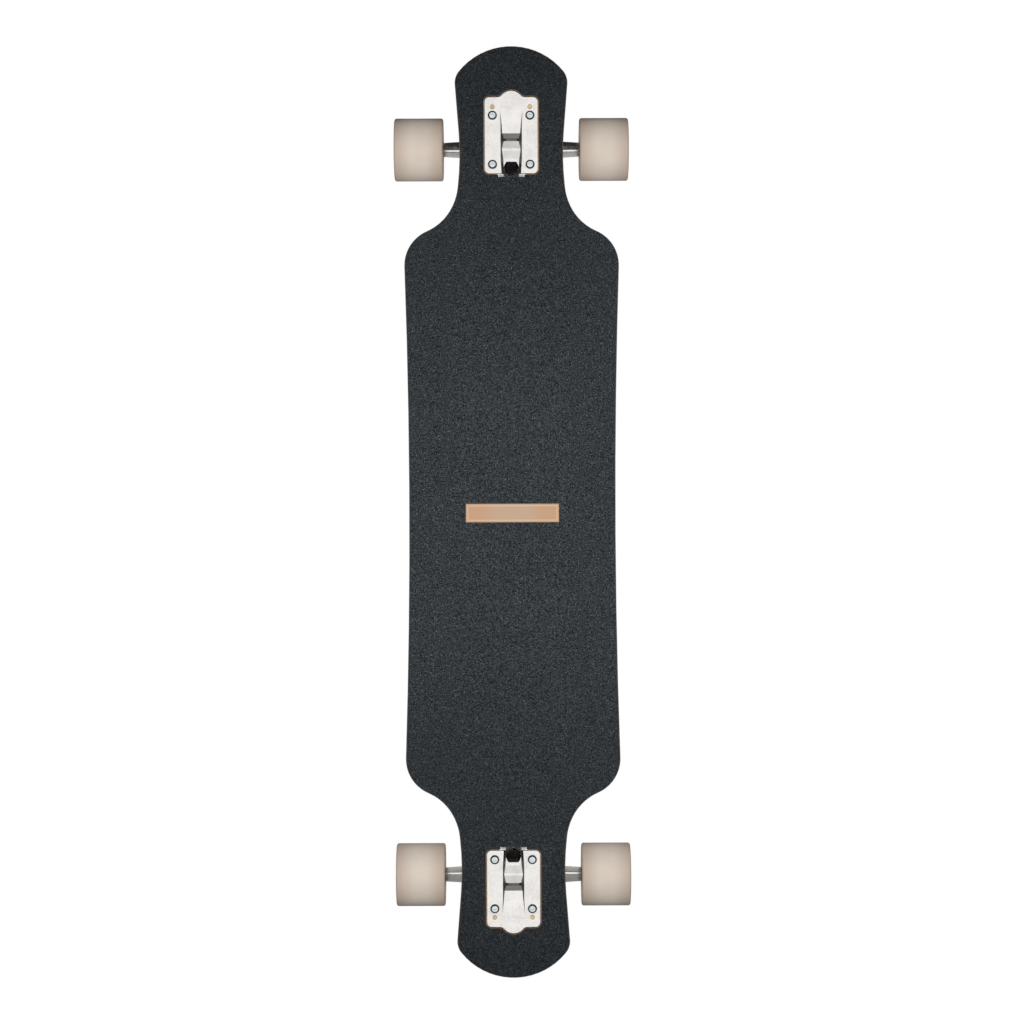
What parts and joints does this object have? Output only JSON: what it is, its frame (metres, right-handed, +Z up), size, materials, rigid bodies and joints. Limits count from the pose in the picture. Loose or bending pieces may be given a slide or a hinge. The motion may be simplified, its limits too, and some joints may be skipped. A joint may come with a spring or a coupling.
{
  "type": "longboard skateboard",
  "caption": "Twin-tip drop-through longboard with dropped platform, gripped deck, cast reverse-kingpin trucks that lean to steer, and wide urethane wheels on ball bearings.",
  "frame": {"origin": "on the ground under the middle of the deck", "axes": "+Y towards the nose, +X to the rider's right when facing the nose, +Z up"},
  "size_m": [0.2612, 1.0258, 0.0976],
  "materials": {
    "maple": "laminated maple, clear satin lacquer",
    "grip": "black grit on a film backing",
    "strip": "bare copper-tan strip",
    "cast_aluminium": "as cast and tumbled",
    "zinc_steel": "bright zinc plate",
    "black_steel": "black oxide",
    "bushing_urethane": "cast urethane",
    "black_urethane": "moulded urethane",
    "axle_steel": "ground steel",
    "bearing_steel": "polished steel",
    "shield_steel": "pressed shield",
    "wheel_urethane": "satin cast urethane, slightly translucent",
    "core_plastic": "moulded core"
  },
  "bodies": {
    "deck": {"deck": "maple", "grip_tape": "grip", "grip_inlay": "strip", "front_baseplate": "cast_aluminium", "front_mounting_bolts": "zinc_steel", "front_mounting_nuts": "zinc_steel", "front_kingpin": "black_steel", "front_kingpin_nut": "zinc_steel", "front_boardside_bushing": "bushing_urethane", "front_roadside_bushing": "bushing_urethane", "front_upper_bushing_washer": "zinc_steel", "front_lower_bushing_washer": "zinc_steel", "front_pivot_cup": "black_urethane", "rear_baseplate": "cast_aluminium", "rear_mounting_bolts": "zinc_steel", "rear_mounting_nuts": "zinc_steel", "rear_kingpin": "black_steel", "rear_kingpin_nut": "zinc_steel", "rear_boardside_bushing": "bushing_urethane", "rear_roadside_bushing": "bushing_urethane", "rear_upper_bushing_washer": "zinc_steel", "rear_lower_bushing_washer": "zinc_steel", "rear_pivot_cup": "black_urethane"},
    "front_hanger_body": {"front_hanger": "cast_aluminium", "front_axle": "axle_steel", "front_axle_nuts": "zinc_steel", "front_axle_washers": "zinc_steel", "front_bearing_inner_rings": "bearing_steel", "front_bearing_spacers": "axle_steel"},
    "rear_hanger_body": {"rear_hanger": "cast_aluminium", "rear_axle": "axle_steel", "rear_axle_nuts": "zinc_steel", "rear_axle_washers": "zinc_steel", "rear_bearing_inner_rings": "bearing_steel", "rear_bearing_spacers": "axle_steel"},
    "front_left_wheel": {"front_left_tyre": "wheel_urethane", "front_left_core": "core_plastic", "front_left_bearing_outer_rings": "bearing_steel", "front_left_bearing_balls": "bearing_steel", "front_left_bearing_shields": "shield_steel"},
    "front_right_wheel": {"front_right_tyre": "wheel_urethane", "front_right_core": "core_plastic", "front_right_bearing_outer_rings": "bearing_steel", "front_right_bearing_balls": "bearing_steel", "front_right_bearing_shields": "shield_steel"},
    "rear_left_wheel": {"rear_left_tyre": "wheel_urethane", "rear_left_core": "core_plastic", "rear_left_bearing_outer_rings": "bearing_steel", "rear_left_bearing_balls": "bearing_steel", "rear_left_bearing_shields": "shield_steel"},
    "rear_right_wheel": {"rear_right_tyre": "wheel_urethane", "rear_right_core": "core_plastic", "rear_right_bearing_outer_rings": "bearing_steel", "rear_right_bearing_balls": "bearing_steel", "rear_right_bearing_shields": "shield_steel"}
  },
  "joints": [
    {"name": "front_steer", "type": "hinge", "parent": "deck", "child": "front_hanger_body", "pos_m": [0, 0.4059, 0.0654], "axis": [0, 0.6428, 0.766], "range_deg": [-15, 15], "stiffness_Nm_per_rad": 60, "deforming": ["front_boardside_bushing", "front_roadside_bushing"]},
    {"name": "rear_steer", "type": "hinge", "parent": "deck", "child": "rear_hanger_body", "pos_m": [0, -0.4059, 0.0654], "axis": [0, -0.6428, 0.766], "range_deg": [-15, 15], "stiffness_Nm_per_rad": 60, "deforming": ["rear_boardside_bushing", "rear_roadside_bushing"]},
    {"name": "front_left_spin", "type": "hinge", "parent": "front_hanger_body", "child": "front_left_wheel", "pos_m": [-0.1034, 0.4064, 0.035], "axis": [1, 0, 0], "continuous": true},
    {"name": "front_right_spin", "type": "hinge", "parent": "front_hanger_body", "child": "front_right_wheel", "pos_m": [0.1034, 0.4064, 0.035], "axis": [1, 0, 0], "continuous": true},
    {"name": "rear_left_spin", "type": "hinge", "parent": "rear_hanger_body", "child": "rear_left_wheel", "pos_m": [-0.1034, -0.4064, 0.035], "axis": [1, 0, 0], "continuous": true},
    {"name": "rear_right_spin", "type": "hinge", "parent": "rear_hanger_body", "child": "rear_right_wheel", "pos_m": [0.1034, -0.4064, 0.035], "axis": [1, 0, 0], "continuous": true}
  ]
}
